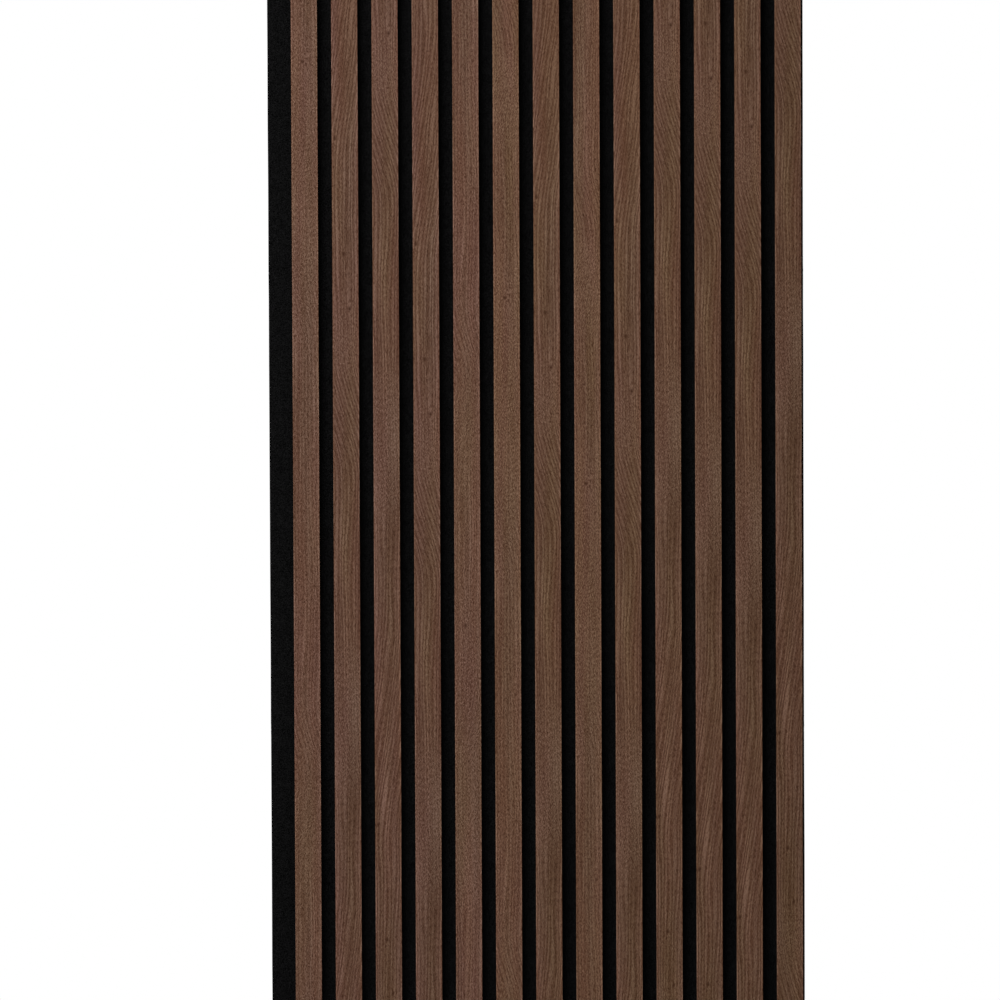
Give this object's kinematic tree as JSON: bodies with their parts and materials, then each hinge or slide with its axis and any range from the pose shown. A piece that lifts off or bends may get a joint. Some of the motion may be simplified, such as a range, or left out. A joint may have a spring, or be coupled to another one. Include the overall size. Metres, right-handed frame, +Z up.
{
  "type": "acoustic slat wall panel",
  "caption": "Upright dark-brown veneered slats, evenly spaced, glued and stapled to a black felt sheet that lies flat against a wall and damps sound.",
  "frame": {"origin": "middle of the felt's back, in the plane of the wall", "axes": "+X across the slats to the right as seen from the room, +Z up along the slats, +Y out of the felt's back into the wall; the slats face -Y"},
  "size_m": [0.5326, 0.021, 2.4],
  "materials": {
    "felt": "matt needled felt, black",
    "core_board": "black-dyed fibreboard, sawn sides and ends",
    "veneer": "smoked-brown open-grained veneer, dull lacquer, arrises sanded",
    "staple_wire": "galvanised flat wire"
  },
  "bodies": {
    "root": {"felt_backing": "felt", "back_staples": "staple_wire", "slat_core_01": "core_board", "slat_core_02": "core_board", "slat_core_03": "core_board", "slat_core_04": "core_board", "slat_core_05": "core_board", "slat_core_06": "core_board", "slat_core_07": "core_board", "slat_core_08": "core_board", "slat_core_09": "core_board", "slat_core_10": "core_board", "slat_core_11": "core_board", "slat_core_12": "core_board", "slat_core_13": "core_board", "slat_veneer_01": "veneer", "slat_veneer_02": "veneer", "slat_veneer_03": "veneer", "slat_veneer_04": "veneer", "slat_veneer_05": "veneer", "slat_veneer_06": "veneer", "slat_veneer_07": "veneer", "slat_veneer_08": "veneer", "slat_veneer_09": "veneer", "slat_veneer_10": "veneer", "slat_veneer_11": "veneer", "slat_veneer_12": "veneer", "slat_veneer_13": "veneer"}
  },
  "joints": []
}
